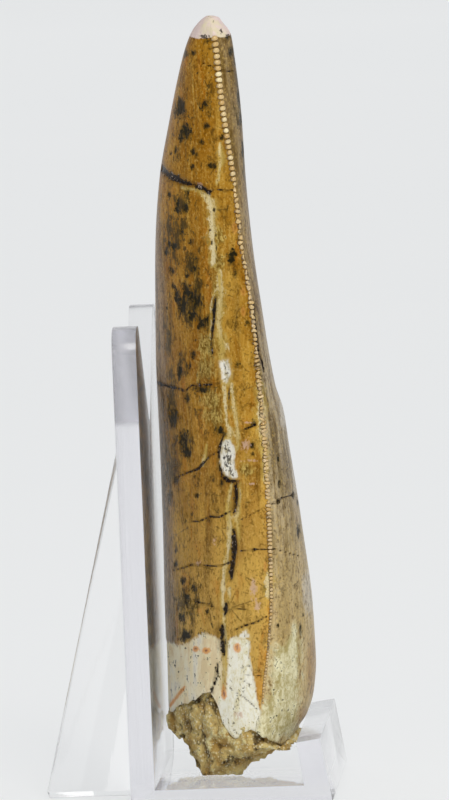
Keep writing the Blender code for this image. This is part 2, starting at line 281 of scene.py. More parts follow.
def swellings(z, side, outline):
    """The swelling at each height with which a face just touches its side's outline."""
    near, far, reach = along(NEAR_CARINA_X, z), along(FAR_CARINA_X, z), along(outline, z)
    shares = np.linspace(0.0, 1.0, 61)[None, :]
    low, high = np.zeros(len(z)), np.full(len(z), 20.0)
    for _ in range(26):
        middle = (low + high) / 2.0
        bulge = side * (near[:, None] + (far - near)[:, None] * shares) + middle[:, None] * belly(shares, z[:, None])
        inside = bulge.max(axis=1) < side * reach
        low, high = np.where(inside, middle, low), np.where(inside, high, middle)
    return (low + high) / 2.0


swell_heights = np.linspace(0.0, TIP_HEIGHT, 700)
left_swell = swellings(swell_heights, -1, LEFT_SIDE)
right_swell = swellings(swell_heights, 1, RIGHT_SIDE)


def wall(share, side, z):
    """Points of the tooth's smooth wall, in millimetres."""
    near_x, far_x = along(NEAR_CARINA_X, z), along(FAR_CARINA_X, z)
    near_y, far_y = along(NEAR_CARINA_Y, z), along(FAR_CARINA_Y, z)
    swell = np.where(side < 0, np.interp(z, swell_heights, left_swell), np.interp(z, swell_heights, right_swell))
    x = near_x + (far_x - near_x) * share + side * swell * belly(share, z)
    return np.stack((x, near_y + (far_y - near_y) * share, z + 0.0 * x), axis=-1)


def roughness(points, size, octaves=1):
    """Smooth noise around 0 at each point, with lumps of a size in millimetres."""
    flat = (np.asarray(points) / size).reshape(-1, 3)
    found = [noise.fractal(Vector(p), 1.0, 2.0, octaves) for p in flat.tolist()]
    return np.array(found).reshape(np.shape(points)[:-1])


def columns(steps):
    """Share and side of each column, from the near edge round the left face and back on the right."""
    turns = np.concatenate((np.arange(steps + 1), np.arange(steps - 1, 0, -1))) / steps
    shares = (1.0 - np.cos(np.pi * turns ** 1.2)) / 2.0
    sides = np.concatenate((np.full(steps + 1, -1.0), np.full(steps - 1, 1.0)))
    return shares, sides


def break_height(points):
    """Height of the ragged end of the wall below each point."""
    seen = smooth_step((points[..., 1] + 4.0) / 8.0)
    level = along(NEAR_BREAK, points[..., 0]) * (1.0 - seen) + along(FAR_BREAK, points[..., 0]) * seen
    return level + 0.28 * roughness(points * (1.0, 1.0, 0.0), 1.1, 2)


def grid_normals(grid):
    """Outward directions of a closed ring grid, row by row from the root to the tip."""
    around = np.roll(grid, -1, axis=1) - np.roll(grid, 1, axis=1)
    upward = np.gradient(grid, axis=0)
    normals = np.cross(upward, around)
    return normals / np.maximum(np.linalg.norm(normals, axis=-1, keepdims=True), 1e-9)


def seen_at(points):
    """Where points fall in the 449 x 800 picture, and so where its marks lie on them."""
    offset = points - np.array(VIEW_CENTRE)
    scale = VIEW_DISTANCE / (VIEW_DISTANCE - offset @ np.array(view_back)) / PIXEL
    return np.stack((PICTURE[0] / 2.0 + scale * (offset @ np.array(view_right)),
                     PICTURE[1] / 2.0 - scale * (offset @ np.array(view_up))), axis=-1)


def mesh_piece(name, points, faces, fields, paint):
    """A shaded mesh piece of the tooth from its points in millimetres, with the fields it carries."""
    data = bpy.data.meshes.new(name)
    data.from_pydata((points * MM).tolist(), [], faces)
    for field, values in fields.items():
        data.attributes.new(field, "FLOAT", "POINT").data.foreach_set("value", np.ravel(values).astype(np.float32))
    data.shade_smooth()
    data.materials.append(paint.material)
    made = bpy.data.objects.new(name, data)
    bpy.context.scene.collection.objects.link(made)
    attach(made, "root")
    return made


def ring_faces(rows, count, first=None, last=None):
    """Faces of a grid of closed rings, with fans to a first and a last point."""
    k = np.arange(count)
    after = (k + 1) % count
    start = np.arange(rows - 1)[:, None] * count
    quads = np.stack((start + after, start + k, start + count + k, start + count + after), axis=-1)
    faces = quads.reshape(-1, 4).tolist()
    if first is not None:
        faces += np.stack((np.full(count, first), k, after), axis=-1).tolist()
    if last is not None:
        top = (rows - 1) * count
        faces += np.stack((np.full(count, last), top + after, top + k), axis=-1).tolist()
    return faces


def marks(spots, here):
    """Closeness to the nearest of some oval marks, 1 at a mark's middle and 0 at its rim."""
    best = np.full(here.shape[:-1], -2.0)
    for x, y, half_wide, half_high in spots:
        away = np.hypot((here[..., 0] - x) / half_wide, (here[..., 1] - y) / half_high)
        best = np.maximum(best, 1.0 - away)
    return best


def lines(tracks, here):
    """Closeness to the nearest of some lines, 1 on its middle and 0 at its edge. A track is a list of
    points of the picture, each with the half width that the line has there."""
    best = np.full(here.shape[:-1], -3.0)
    for track in tracks:
        for (ax, ay, aw), (bx, by, bw) in zip(track, track[1:]):
            run = np.array((bx - ax, by - ay), float)
            share = np.clip(((here - (ax, ay)) @ run) / (run @ run), 0.0, 1.0)
            away = np.hypot(here[..., 0] - ax - run[0] * share, here[..., 1] - ay - run[1] * share)
            best = np.maximum(best, 1.0 - away / (aw + (bw - aw) * share))
    return best


def inside(corners, here):
    """How deep points lie in an outlined patch, in pixels, and below 0 outside it."""
    away = np.full(here.shape[:-1], 1e9)
    within = np.zeros(here.shape[:-1], bool)
    for (ax, ay), (bx, by) in zip(corners, corners[1:] + corners[:1]):
        run = np.array((bx - ax, by - ay), float)
        share = np.clip(((here - (ax, ay)) @ run) / (run @ run), 0.0, 1.0)
        away = np.minimum(away, np.hypot(here[..., 0] - ax - run[0] * share, here[..., 1] - ay - run[1] * share))
        crosses = (ay > here[..., 1]) != (by > here[..., 1])
        slope = (bx - ax) / (by - ay) if by != ay else 0.0
        within ^= crosses & (here[..., 0] < ax + (here[..., 1] - ay) * slope)
    return np.where(within, away, -away)


# Marks of the visible face, in pixels of the picture: middle and half sizes
DARK_SPOTS = [(180.6, 108, 5, 11), (204.7, 103.6, 4.2, 5), (201.8, 109, 2.2, 2), (206.3, 126, 3.6, 3.6),
              (231.2, 52, 3.2, 5), (236, 60, 2, 6), (238.5, 96, 2.4, 9), (241, 118, 2, 7), (243, 150, 1.6, 8), (228, 36.5, 3, 3), (222, 30.5, 2.4, 2.2), (204, 36.5, 4.5, 1.8),
              (194, 53, 2.6, 2.4), (208, 66, 1.4, 1.2), (198, 73, 1.3, 1.3), (186, 131, 4.6, 7), (181.5, 139, 2.6, 3),
              (201.4, 142, 3, 3), (222, 136.6, 2.4, 2.8), (193, 151.5, 2.4, 4), (196.4, 154.5, 1.9, 2),
              (175.7, 150, 1.6, 4), (171, 153, 1.4, 2), (192.2, 167.3, 2.4, 3.4), (210.5, 165.6, 4.4, 3),
              (215, 166.8, 2, 2.4), (169.4, 194.6, 1.6, 3.4), (177.7, 203, 1.6, 4), (176.5, 209.6, 3.2, 3.4),
              (185.6, 208.7, 3.4, 4.4), (173.2, 217.8, 2, 2.2), (188, 190.5, 2, 3), (181.9, 232, 1.6, 3),
              (190.2, 242, 3.4, 3.6), (169, 244, 2.2, 3.4), (173.5, 245.7, 3.4, 4), (165.8, 252.4, 2, 3),
              (198, 259.6, 1.9, 1.9), (194, 268.7, 2.4, 2.6), (187, 276, 2.8, 3), (172, 271, 3.4, 5),
              (173.5, 286, 1.6, 3), (176, 293.6, 2, 7), (186, 291, 4, 10), (183, 302, 4.4, 6), (181, 309, 3.6, 5),
              (196.5, 301, 4.4, 8), (191.7, 296, 2.6, 5), (191.7, 315.6, 4.4, 4.4), (166.8, 308, 1.6, 1.8),
              (200.3, 324, 4.6, 5), (207, 319, 2.4, 4), (195.5, 340, 1.6, 1.6), (194, 355, 2.6, 4),
              (179.7, 354.4, 1.4, 1.4), (180.2, 371, 2, 7), (189.8, 366, 2, 4), (231.4, 257.7, 2.8, 5),
              (234.7, 254, 2.6, 2), (232.3, 249, 1.6, 1.6), (172.5, 418, 4.4, 12), (186.6, 398, 2.6, 6),
              (183.4, 440, 5, 9), (186.6, 452, 5.4, 5), (200.7, 389.8, 5, 3), (175.8, 481, 3, 5), (196.4, 495.5, 2.4, 2.6),
              (220.3, 430, 5, 4), (224.6, 434, 2.6, 2.6), (253.9, 424, 2.6, 2.8), (251.7, 446, 2.8, 3), (253.3, 454, 2, 2),
              (222, 483, 2.6, 4), (175.8, 551, 1.2, 2.6), (175.8, 564, 1.4, 3.2), (183.3, 580.5, 3.2, 4.4),
              (193.6, 588.6, 2.2, 4), (186.7, 596.6, 2.6, 3), (176.4, 599, 1.4, 2.6), (186.2, 602.3, 1.6, 1.8),
              (178, 609, 1.4, 4.4), (192.5, 609, 1.4, 1.4), (207.4, 611.5, 1.8, 3), (181, 617, 3, 5), (186.7, 635.6, 6, 5),
              (179.3, 639, 2.4, 2.2), (277.7, 501.5, 2.2, 2.4), (278.8, 484, 1.4, 4), (277.7, 459, 1.2, 3.4),
              (293, 495, 1.4, 3.4), (297.8, 502, 1.4, 3.6), (298.4, 531, 1.7, 7), (300.4, 629, 1.6, 6), (303.3, 615, 1.2, 2),
              (278, 625.3, 1.6, 1.8), (272.8, 675, 1.5, 3), (279.7, 703, 2, 3.4), (271.1, 577, 1.6, 1.8),
              (264.8, 587.4, 1.6, 1.8), (270.5, 596.6, 2.8, 2.8)]
FAINT_SPOTS = [(240, 110, 6, 22), (238, 75, 5, 16), (245, 160, 4, 24), (174, 235, 12, 40), (170, 470, 10, 40), (247, 322, 4, 4), (237.6, 363, 4, 4), (235.7, 272.5, 5, 6), (188, 54, 6, 5), (192, 265, 12, 16),
               (190, 300, 16, 26), (178, 232, 12, 18), (182, 205, 14, 12), (186, 134, 9, 11), (172, 400, 8, 30),
               (184, 444, 11, 16), (200, 388, 14, 5), (185, 600, 14, 24), (184, 634, 12, 8), (232, 253, 6, 10),
               (205, 322, 8, 10), (182, 370, 8, 12), (216, 430, 10, 8), (204, 634, 8, 5), (168, 330, 4, 40)]
FLECKS = [(213.8, 210, 1.7, 3.2), (214.6, 225, 1.3, 1.4), (209.7, 230.3, 1.6, 1.8), (215.4, 235.3, 1.3, 2.6),
          (211.3, 242.7, 1.4, 3), (216, 248, 1.1, 4), (223.5, 458, 2, 2), (226.8, 465.7, 1.4, 1.4), (221, 463, 1, 1.4),
          (232.2, 475.4, 1.3, 1.6), (228, 450, 1, 1), (184.4, 648, 1.6, 1.6), (177, 646, 1.1, 1.1), (174, 665.5, 1.2, 1.6),
          (206.3, 658.6, 1.2, 3), (216, 658.6, 1.1, 1.8), (214.3, 667.8, 1.4, 2.6), (216, 672.4, 1.1, 3.4),
          (213, 682.7, 1.4, 2.4), (209.7, 689.6, 1.6, 2.4), (236, 696, 1.3, 1.2), (233, 723, 1, 2.4), (178, 688, 1, 1),
          (197, 656, 2, 1.2), (203, 660, 1.3, 1.6), (209.5, 664, 1.5, 1.2), (193, 661, 1, 1.2), (180, 657, 1.1, 1.1),
          (177.5, 672, 1, 1.6), (170, 690, 1, 1.2), (186, 676, 1, 1), (199, 683, 1, 1.2), (205, 672, 1, 1.4),
          (191, 694, 1.1, 1), (201, 694, 1, 1), (167, 657, 0.9, 1.4), (274, 690, 1.2, 1.6), (283, 700, 1.4, 1.2),
          (286, 672, 1, 1.2), (293, 661, 1, 1.4), (277, 716, 1.2, 1.4), (245, 655, 0.9, 0.9), (241, 706, 1, 1)]
DARK_CRACKS = [[(159.5, 166.5, 3.4), (167.4, 174, 3.4), (176.5, 179, 3.2), (184.8, 183, 3.0), (194, 185.5, 2.4),
                (201.4, 188, 2.2), (208.8, 192, 1.8), (213, 190, 0.9)],
               [(217, 189, 0.7), (225, 191, 0.9), (234, 190, 0.7)],
               [(202, 63, 0.5), (216.3, 68, 0.7), (221.3, 70.5, 1.0), (233.7, 71.3, 0.6)],
               [(154, 382, 1.8), (164, 385, 1.4), (172.5, 387.6, 1.3), (185.6, 390.8, 1.0), (191, 385.4, 0.8),
                (202, 385.4, 1.2), (219, 383.5, 0.8)],
               [(175.8, 477.6, 0.6), (186.6, 472.7, 0.9), (197.5, 469, 1.1), (209.4, 456, 0.7), (217, 452, 0.6)],
               [(240, 431, 0.7), (248.5, 427.7, 0.9), (256, 424, 1.2)],
               [(189, 522, 0.6), (200, 521, 0.9), (209.4, 516.7, 0.8), (220.3, 516.7, 0.9), (232, 510.2, 0.6)],
               [(239.8, 520, 0.4), (250, 515, 0.5), (262, 509, 0.4)],
               [(270, 505, 0.4), (277, 502, 0.8), (281, 498.2, 0.6), (292, 495, 0.5)],
               [(171, 571, 0.4), (183.3, 567.9, 0.8), (192.5, 564.4, 0.9), (200.5, 565.6, 0.8), (212, 566, 0.8),
                (221, 565.6, 0.7), (229, 562.7, 0.6)],
               [(240, 551, 0.5), (253.3, 549.5, 0.9), (262, 549.5, 0.6), (275, 549, 0.4), (300, 556, 0.4)],
               [(192, 600, 0.6), (201.7, 603.5, 0.9), (209.7, 604.6, 1.0), (214.3, 608, 0.6), (230.4, 609.2, 0.4),
                (246, 609, 0.4)],
               [(234, 630, 0.6), (245.3, 625.3, 0.8), (256.8, 621.8, 1.0), (262.5, 618.4, 0.8), (268, 616, 0.4)],
               [(214.6, 298.4, 1.6), (213.7, 311.8, 1.5), (212.7, 326, 1.2), (210.8, 340.5, 0.9), (212, 354, 0.6)],
               [(228.4, 388, 0.4), (228.8, 399.5, 0.8), (229.2, 410, 0.5)],
               [(235.6, 485, 1.8), (236, 497, 2.6), (234.4, 512.3, 1.4)],
               [(233.6, 529.7, 1.6), (234.6, 545, 3.0), (233, 560, 2.6), (231.5, 573, 2.2), (230.4, 580, 1.2)],
               [(225.4, 604, 1.6), (225, 611, 2.3), (224, 616, 0.8)],
               [(221.6, 626, 1.8), (221.2, 631, 3.4), (221.8, 638, 2.2)], [(222.5, 642, 3.0), (222.4, 649, 2.8), (223.4, 656, 0.8)],
               [(217.4, 663, 0.8), (216, 669, 1.6), (215.2, 674, 0.7)], [(214.8, 678, 1.3), (213.4, 684, 1.2)],
               [(211.6, 687, 0.9), (210, 692, 1.3)],
               [(223, 435, 1.2), (219.5, 446, 1.2), (217.6, 463, 1.0), (222, 476, 1.6), (228, 481, 2.2), (238, 482, 1.5)],
               [(254, 305, 0.5), (255.3, 320, 0.8), (257, 336, 1.1), (258.5, 348, 1.2), (262, 360, 0.7), (264.5, 372, 0.6)],
               [(240, 668, 0.3), (249, 666, 0.5)], [(240, 673, 0.3), (250, 676, 0.5)], [(239, 678, 0.3), (248, 684, 0.5)],
               [(230, 690, 0.3), (243, 697, 0.6), (257, 710, 0.4)], [(255, 676, 0.4), (271, 674, 0.5)]]
CREAM_LINES = [[(220.4, 143, 1.0), (220.6, 151.5, 1.8), (221.3, 161.5, 2.2), (219.4, 166, 1.4), (218.6, 178, 1.4),
                (216.3, 184, 1.0)],
               [(182, 187.4, 1.2), (194, 189, 1.6), (199.7, 191, 1.8), (206.3, 197, 2.8), (211.3, 203, 3.6), (211.8, 211, 3.6),
                (211.5, 219.5, 3.4), (213, 228, 4.0), (211.6, 236, 3.6), (213, 243, 2.6), (214, 262, 3.0)],
               [(219.5, 272, 2.0), (220.4, 292.6, 3.4), (219.8, 306, 3.2), (218, 322, 2.4), (221, 340, 2.6), (224, 347, 4.0),
                (221, 357, 3.0)],
               [(224.6, 384, 1.4), (225, 398, 1.6), (225.8, 412.5, 1.4), (227.6, 425.6, 1.8), (231, 431, 3.0), (229, 441, 3.4)],
               [(231.2, 384, 1.4), (233, 398, 1.6), (235.4, 412.5, 1.8), (237.4, 425, 1.8), (237, 434, 2.6), (238, 444, 1.6),
                (236, 452, 1.4)],
               [(231.4, 484, 1.2), (229.4, 494, 1.6), (227.4, 510.2, 1.8), (229, 518, 2.8), (230, 526.4, 2.6), (229.2, 541.5, 1.9),
                (225.6, 562, 1.8), (223.6, 576, 2.0), (222.3, 599, 2.0), (225, 606, 1.2)],
               [(239.4, 484, 1.0), (239.8, 495, 1.4), (238.8, 506, 1.2), (237, 517, 2.4), (238, 530, 1.4), (239, 545, 0.8)],
               [(229, 587.4, 1.6), (229.4, 600, 1.0)],
               [(222.3, 599, 2.0), (224.2, 618, 1.8), (225.6, 640, 2.0), (225, 668, 1.8), (222, 688, 2.0)],
               [(215.8, 288.8, 0.6), (210.8, 303, 0.8), (211, 316.6, 0.8), (209.9, 340.5, 0.5)],
               [(206.2, 445, 0.8), (204, 460.3, 1.4), (201.8, 466, 1.2)], [(269, 574, 3.0), (270, 584, 3.6), (269, 596, 2.4)],
               [(259, 384, 2.4), (260.4, 410, 3.4), (262, 440, 3.0), (265, 462, 2.2), (264, 480, 1.4)]]
WHITE_PATCHES = [[(219, 361), (228, 359), (231, 374), (227, 384), (222.5, 382)],
                 [(221.3, 440.7), (230, 439), (235.4, 450.5), (234.8, 466.8), (238.7, 477.6), (232, 479.4),
                  (224, 474.5), (218.4, 462.4)],
                 [(234, 638), (246, 630), (250, 638)]]
PINK_CRUSTS = [(253.3, 587.4, 4.4, 13), (257.5, 606, 5, 6), (245, 445, 6, 7), (252, 484, 5, 2), (253, 460.3, 13, 1.4),
               (248.5, 422.5, 8, 1.4), (199, 184.6, 4.6, 2.4), (216, 171, 1.6, 3), (199, 563, 5, 3), (215, 540, 3, 5), (239, 715, 6, 6)]
ORANGE_STAINS = [(195.5, 649, 4.4, 4.2), (205.8, 650.5, 5.4, 4.4), (236.7, 647.7, 5.4, 6.2), (223.5, 693, 4, 10),
                 (229, 417, 2.0, 3.4), (265, 567, 2.0, 8),
                 (200, 611, 3, 4), (243, 292, 3.4, 6), (235, 228, 4, 8), (243, 312, 3, 6)]
ORANGE_STREAKS = [[(169.5, 706, 2.2), (176, 697, 3.0), (184, 687, 2.0)]]
DENTINE_LEFT = [(150, 641), (165, 640.5), (178.7, 644), (190, 641), (197, 636), (203, 632), (214, 635), (222, 640),
                (226, 700), (214, 720), (150, 740)]
DENTINE_TONGUE = [(225.6, 641), (232, 636), (241, 634), (251, 641), (250, 656), (253.3, 672), (256, 685), (258.5, 702),
                  (262, 712), (256, 735), (236, 742), (222, 735), (214, 712), (217, 700), (225, 690)]
GREEN_CREAM = [(272, 648), (284, 640), (296, 618), (303, 640), (301, 690), (297, 735), (262, 750), (240, 744),
               (262, 706), (268, 690)]
MOTTLES = [(207, 345, 9, 14), (206, 368, 9, 16), (212, 400, 12, 12), (214, 416, 11, 11), (216, 300, 7, 26),
           (217, 262, 7, 10), (222, 345, 5, 12), (262, 400, 5, 26), (246, 470, 8, 6), (218, 236, 6, 10), (202, 342, 3, 7)]
BAND = [(0, 222), (140, 220), (220, 212), (300, 219), (370, 223), (430, 229), (480, 231), (560, 227), (640, 222),
        (800, 220)]
RIGHT_BROWN = [(313, 668, 9, 46), (303, 716, 10, 12)]
RIGHT_GREY = [(309, 592, 10, 34), (284, 408, 7, 30), (296, 470, 6, 40)]
GREY_EDGE = [(0, 180), (60, 183), (120, 168), (190, 160.5), (240, 166), (350, 169), (430, 171), (500, 173),
             (600, 179), (640, 180), (800, 180)]
TIP_WEAR = [(176, 0), (176, 34), (190, 37), (196, 39), (212, 38), (216, 36), (222, 38), (232, 35), (240, 32), (240, 0)]

columns_share, columns_side = columns(FACE_STEPS)
foot_ring = wall(columns_share, columns_side, np.full(len(columns_share), 9.0))
rim = break_height(foot_ring)
lower = [rim + (FULL_SECTION - rim) * share for share in np.linspace(0.0, 1.0, 30)[:-1]]
middle = [np.full(len(rim), z) for z in np.arange(FULL_SECTION, 95.0, ROW_STEP)]
upper = [np.full(len(rim), z) for z in 95.0 + 3.2 * np.sin(np.linspace(0.0, math.pi / 2.0, 18))]
row_heights = np.array(lower + middle + upper)
body = wall(columns_share[None, :], columns_side[None, :], row_heights)
outward = grid_normals(body)
picture = seen_at(body)
facing = outward @ np.array(view_back)
seen = smooth_step((facing + 0.02) / 0.14)

waves = 0.10 * roughness(body, 14.0)
fine_waves = roughness(body * (1.0, 1.0, 0.35), 2.2, 3)
shown = np.where(seen > 0.0, 0.0, -2.0)


def on_near_face(field, hidden=-1.0):
    """Keeps a field of the picture to the side that the picture shows."""
    return field * seen + hidden * (1.0 - seen)


# Cracks that run on round the hidden side, by height, and one long crack on each hidden face
RING_CRACKS = [(78.0, 0.35), (52.4, 0.24), (41.5, 0.08), (30.2, 0.10), (62.0, 0.08)]
LONG_CRACKS = [(-1, 0.80, 0.16), (1, 0.62, 0.22), (1, 0.30, 0.10)]
wander = 3.0 * roughness(body * (1.0, 1.0, 0.35), 13.0, 3)
ring_cracks = np.full(seen.shape, -3.0)
for height, half_width in RING_CRACKS:
    ring_cracks = np.maximum(ring_cracks, 1.0 - np.abs(body[..., 2] - height - wander) / half_width)
chord = np.abs(along(FAR_CARINA_Y, row_heights) - along(NEAR_CARINA_Y, row_heights))
drift = 0.05 * roughness(body * (0.05, 0.05, 1.0), 11.0, 3)
long_cracks = np.full(seen.shape, -3.0)
for side, share, half_width in LONG_CRACKS:
    away = np.abs(columns_share[None, :] + drift - share) * chord
    away = away + 6.0 * (columns_side[None, :] != side) + np.clip(body[..., 2] - 80.0, 0.0, None)
    long_cracks = np.maximum(long_cracks, 1.0 - away / (half_width * (1.6 + 2.0 * drift / 0.05)).clip(0.05, None))

dark_crack = np.maximum(on_near_face(lines(DARK_CRACKS, picture), -3.0), ring_cracks * (1.0 - seen) - 3.0 * seen)
cream_crack = np.maximum(on_near_face(lines(CREAM_LINES, picture), -3.0), long_cracks * (1.0 - seen) - 3.0 * seen)
white_patch = on_near_face(np.max([inside(patch, picture) for patch in WHITE_PATCHES], axis=0), -9.0)
dark_spot = on_near_face(marks(DARK_SPOTS, picture))
faint_spot = on_near_face(marks(FAINT_SPOTS, picture))
fleck = on_near_face(marks(FLECKS, picture))
pink = on_near_face(marks(PINK_CRUSTS, picture))
grey_left = (along(GREY_EDGE, picture[..., 1]) - picture[..., 0]) / 4.5
grey_left = grey_left * seen + (1.0 - seen) * np.where(columns_side < 0, 2.0, 0.0)[None, :]
grey_left = np.where(columns_side[None, :] < 0, grey_left, -3.0) - np.clip(body[..., 2] - 84.0, 0.0, None)
right_tint = on_near_face(np.clip(marks(RIGHT_BROWN, picture), 0.0, 1.0) - np.clip(marks(RIGHT_GREY, picture), 0.0, 1.0), 0.0)
mottled = on_near_face(marks(MOTTLES, picture))
left_zone = np.clip((along(BAND, picture[..., 1]) - picture[..., 0]) / 12.0, -1.0, 1.0) * seen
orange = on_near_face(np.maximum(marks(ORANGE_STAINS, picture), 0.6 * lines(ORANGE_STREAKS, picture)))
left_dentine = inside(DENTINE_LEFT, picture)
tongue = on_near_face(inside(DENTINE_TONGUE, picture), -30.0)
green = on_near_face(inside(GREEN_CREAM, picture), -30.0)
root_line = 19.5 + 1.6 * roughness(body * (1.0, 1.0, 0.0), 7.0, 2)
hidden_root = (root_line - body[..., 2]) * 8.0
dentine = left_dentine * seen + hidden_root * (1.0 - seen)
tip_wear = inside(TIP_WEAR, picture) * seen + (body[..., 2] - 95.0 + 2.0 * fine_waves) * 8.0 * (1.0 - seen)
edge_gap = np.minimum(columns_share, 1.0 - columns_share)[None, :] * chord

groove = smooth_step(dark_crack / 0.8 + 0.2) * 0.16 + smooth_step(cream_crack / 0.8) * 0.05
sunk = 0.10 * smooth_step(np.maximum(dentine, tongue) / 3.0) + 0.10 * smooth_step(white_patch / 2.0)
pits = 0.06 * smooth_step(dark_spot * 1.5) + 0.10 * smooth_step(fleck * 2.0)
grain = 0.05 * fine_waves * smooth_step(np.maximum(np.maximum(dentine, tongue), np.maximum(green, tip_wear)) / 4.0)
tip_flat = 0.12 * smooth_step(tip_wear / 6.0) * roughness(body, 1.6, 2)
body = body + outward * (waves - groove - sunk - pits + grain + tip_flat)[..., None]

# The broken end turns in over the wall's thickness
WALL_THICKNESS = 1.5
centre = np.array((0.0, 0.5, 0.0))
inner = []
for share in (1.0, 0.72, 0.45, 0.2):
    ring = body[0] - outward[0] * (1.0, 1.0, 0.0) * WALL_THICKNESS * share
    ring[:, 2] += 0.9 * share + 0.25 * roughness(ring, 1.0, 2)
    inner.append(ring)
edge_rows = len(inner)
shell = np.concatenate((np.array(inner), body))


def with_edge(values, edge=None):
    """Carries a field of the wall on over the rows of its broken end."""
    first = values[:1] if edge is None else np.full((1, values.shape[1]), edge)
    return np.concatenate([first] * edge_rows + [values]).ravel()


tip_point = body[-1].mean(axis=0) + (0.0, 0.0, 0.04)
shell_points = np.concatenate((shell.reshape(-1, 3), tip_point[None, :]))
shell_fields = {"dark_crack": dark_crack, "cream_crack": cream_crack, "white_patch": white_patch,
                "dark_spot": dark_spot, "faint_spot": faint_spot, "fleck": fleck, "pink": pink, "orange": orange,
                "dentine": dentine, "tongue": tongue, "green": green, "tip_wear": tip_wear, "seen": seen,
                "mottled": mottled, "left_zone": left_zone, "grey_left": grey_left, "right_tint": right_tint, "edge_gap": edge_gap, "right_face": np.broadcast_to((columns_side > 0) * 1.0, seen.shape)}
shell_fields = {name: np.append(with_edge(values), np.ravel(values)[-1]) for name, values in shell_fields.items()}
broken = np.concatenate([np.full(len(rim), 1.0)] * edge_rows + [np.zeros(body.shape[0] * len(rim) + 1)])
shell_fields["broken"] = broken

enamel = Paint("fossil_enamel", Specular_IOR_Level=0.05, IOR=1.5)
streaks = enamel.cloud(0.55, 3.0, (1.0, 1.0, 0.07))
long_streaks = enamel.cloud(1.8, 3.0, (1.0, 1.0, 0.12))
mottle = enamel.cloud(5.0, 4.0, (1.0, 1.0, 0.6), 0.6)
speckle = enamel.cloud(0.8, 4.0, (1.0, 1.0, 0.7), 0.4)
fine = enamel.cloud(0.35, 3.0)
specks = enamel.cloud(0.42, 3.0, (1.0, 1.0, 0.8), 0.8)
lumps = enamel.cloud(1.5, 3.0, (1.0, 1.0, 0.7), 0.5)
height = enamel.node("ShaderNodeSeparateXYZ", {}, {"Vector": enamel.place}, "Z") * (1.0 / MM)
upper_part = height.rise(45.0, 88.0)
low_part = 1.0 - height.rise(18.0, 50.0)
left_zone = enamel.field("left_zone")
gold = enamel.mix((mottle * 2.2 + 0.5).rise(0.15, 0.85), tone(154, 102, 18), tone(202, 156, 62))
gold = enamel.mix(left_zone.rise(-0.3, 0.6) * (0.5 - low_part * 0.35), gold, tone(150, 96, 8))
gold = enamel.mix(low_part * 0.75, gold, tone(212, 174, 94))
gold = enamel.mix(upper_part * 0.4, gold, tone(158, 108, 10))
gold = enamel.mix((enamel.cloud(3.0, 3.0, (1.0, 1.0, 0.4), 0.5) - 0.02).rise(0.03, 0.16) * 0.5, gold, tone(188, 112, 18))
gold = enamel.mix((streaks * 1.5 + 0.5).rise(0.45, 0.95) * 0.6, gold, tone(218, 176, 82))
gold = enamel.mix((0.5 - long_streaks * 1.8).rise(0.5, 1.0) * 0.7, gold, tone(98, 66, 10))
yellowish = (enamel.field("mottled") + speckle * 2.4 + specks * 1.6).rise(-0.4, 0.6)
gold = enamel.mix(yellowish * 0.7, gold, enamel.mix((specks * 2.2 + lumps + 0.5).rise(0.2, 0.85), tone(96, 78, 26), tone(212, 190, 108)))
tan = enamel.mix((long_streaks * 2.8 + 0.5).rise(0.2, 0.8), tone(104, 94, 70), tone(184, 172, 144))
tan = enamel.mix((0.5 - streaks * 2.8).rise(0.5, 0.95) * 0.7, tan, tone(60, 52, 40))
tan = enamel.mix((mottle - 0.02).rise(0.0, 0.16) * 0.5, tan, tone(150, 142, 134))
tan = enamel.mix(low_part * 0.62, tan, tone(206, 182, 126))
tan = enamel.mix((specks * 2.2 + streaks * 1.4).rise(0.2, 0.5) * 0.5, tan, tone(60, 52, 34))
color = enamel.mix(enamel.field("right_face").rise(0.3, 0.7) * (0.85 - upper_part * 0.35), gold, tan)
# Painted shade: the upper part of the right face is darkened to olive brown, where shade falls on it.
color = enamel.mix(enamel.field("right_face").rise(0.3, 0.7) * upper_part * 0.45, color, tone(84, 70, 30))
grey = enamel.mix((long_streaks * 2.4 + mottle + 0.5).rise(0.2, 0.8), tone(84, 64, 40), tone(152, 124, 94))
# Painted light: the greys of the hidden left face are lightened, standing in for the light that reaches that face
# through the clear panel, so that its reflection in the panel looks pale.
grey = enamel.mix((1.0 - enamel.field("seen")) * 0.75, grey, tone(208, 188, 168))
brown_right = (enamel.field("right_tint") * 2.0 + speckle * 1.2 - 0.3).rise(0.0, 0.7)
grey_right = (speckle * 1.2 + long_streaks * 1.6 - 0.35 - enamel.field("right_tint") * 2.0).rise(0.0, 0.8)
color = enamel.mix(brown_right * 0.7, color, tone(158, 122, 74))
color = enamel.mix(grey_right * 0.6, color, tone(206, 200, 186))
grey_mask = (enamel.field("grey_left") + speckle * 2.6 + long_streaks * 3.4).rise(-0.4, 1.6)
color = enamel.mix(grey_mask * 0.85, color, grey)
grain_light = (fine * 2.6 + specks * 2.0).rise(0.1, 0.5)
grain_dark = (0.0 - fine * 1.8 - specks * 2.2 - speckle * 1.4).rise(0.08, 0.5)
blotches = (lumps * 1.4 - speckle).rise(0.02, 0.24)
color = enamel.mix(grain_light * 0.34, color, tone(226, 190, 108))
color = enamel.mix(grain_dark * 0.55, color, tone(78, 52, 10))
color = enamel.mix(blotches * 0.3, color, tone(92, 66, 12))

